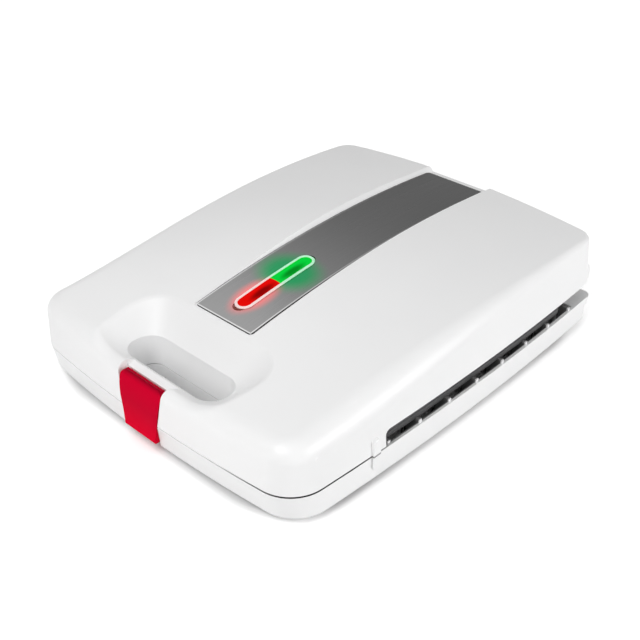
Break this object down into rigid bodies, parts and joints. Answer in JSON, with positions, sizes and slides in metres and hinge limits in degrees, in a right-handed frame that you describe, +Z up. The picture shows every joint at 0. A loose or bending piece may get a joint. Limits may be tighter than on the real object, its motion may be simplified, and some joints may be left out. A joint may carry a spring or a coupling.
{
  "type": "donut maker",
  "caption": "White clamshell table appliance with ring-shaped baking cavities, hinged crowned lid, hand slot, front latch and lit indicator.",
  "frame": {"origin": "centre of the footprint's box, on the plane under the feet", "axes": "+X to the right seen from the front, +Y to the hinge at the back, +Z up"},
  "size_m": [0.2644, 0.3361, 0.0835],
  "materials": {
    "white_plastic": "satin moulded, white",
    "nonstick": "cast, dark non-stick coat",
    "steel": "plated",
    "element_sheath": "drawn tube, dull",
    "bright_sheet": "bright sheet",
    "brushed_trim": "brushed, satin",
    "rubber": "matt black",
    "bezel_light": "pale, lit from below",
    "red_light": "clear red, lit",
    "green_light": "clear green, lit",
    "lamp_glass": "clear bulb",
    "red_plastic": "satin moulded, red",
    "inner_plastic": "heat resistant moulding"
  },
  "bodies": {
    "base": {"base_shell": "white_plastic", "base_handle_cover": "white_plastic", "base_cover_screws": "steel", "lower_plate": "nonstick", "lower_plate_screws": "steel", "lower_heater": "element_sheath", "lower_reflector": "bright_sheet", "terminal_block": "inner_plastic", "cord_gland": "rubber", "hinge_pin_left": "steel", "hinge_pin_right": "steel", "foot_front_left": "rubber", "foot_front_right": "rubber", "foot_rear_left": "rubber", "foot_rear_right": "rubber"},
    "lid": {"lid_shell": "white_plastic", "lid_handle_cover": "white_plastic", "lid_cover_screws": "steel", "upper_plate": "nonstick", "upper_plate_screws": "steel", "upper_heater": "element_sheath", "upper_reflector": "bright_sheet", "thermostat": "bright_sheet", "thermal_fuse": "bright_sheet", "trim_strip": "brushed_trim", "indicator_bezel": "bezel_light", "red_lens": "red_light", "green_lens": "green_light", "lamp_holder": "inner_plastic", "indicator_lamps": "lamp_glass", "latch_pin": "steel"},
    "latch": {"latch": "red_plastic"}
  },
  "joints": [
    {"name": "lid_hinge", "type": "hinge", "parent": "base", "child": "lid", "pos_m": [0, 0.156, 0.03], "axis": [-1, 0, 0], "range_deg": [0, 95]},
    {"name": "latch_pivot", "type": "hinge", "parent": "lid", "child": "latch", "pos_m": [-0.003, -0.1598, 0.045], "axis": [-1, 0, 0], "range_deg": [0, 35]}
  ]
}
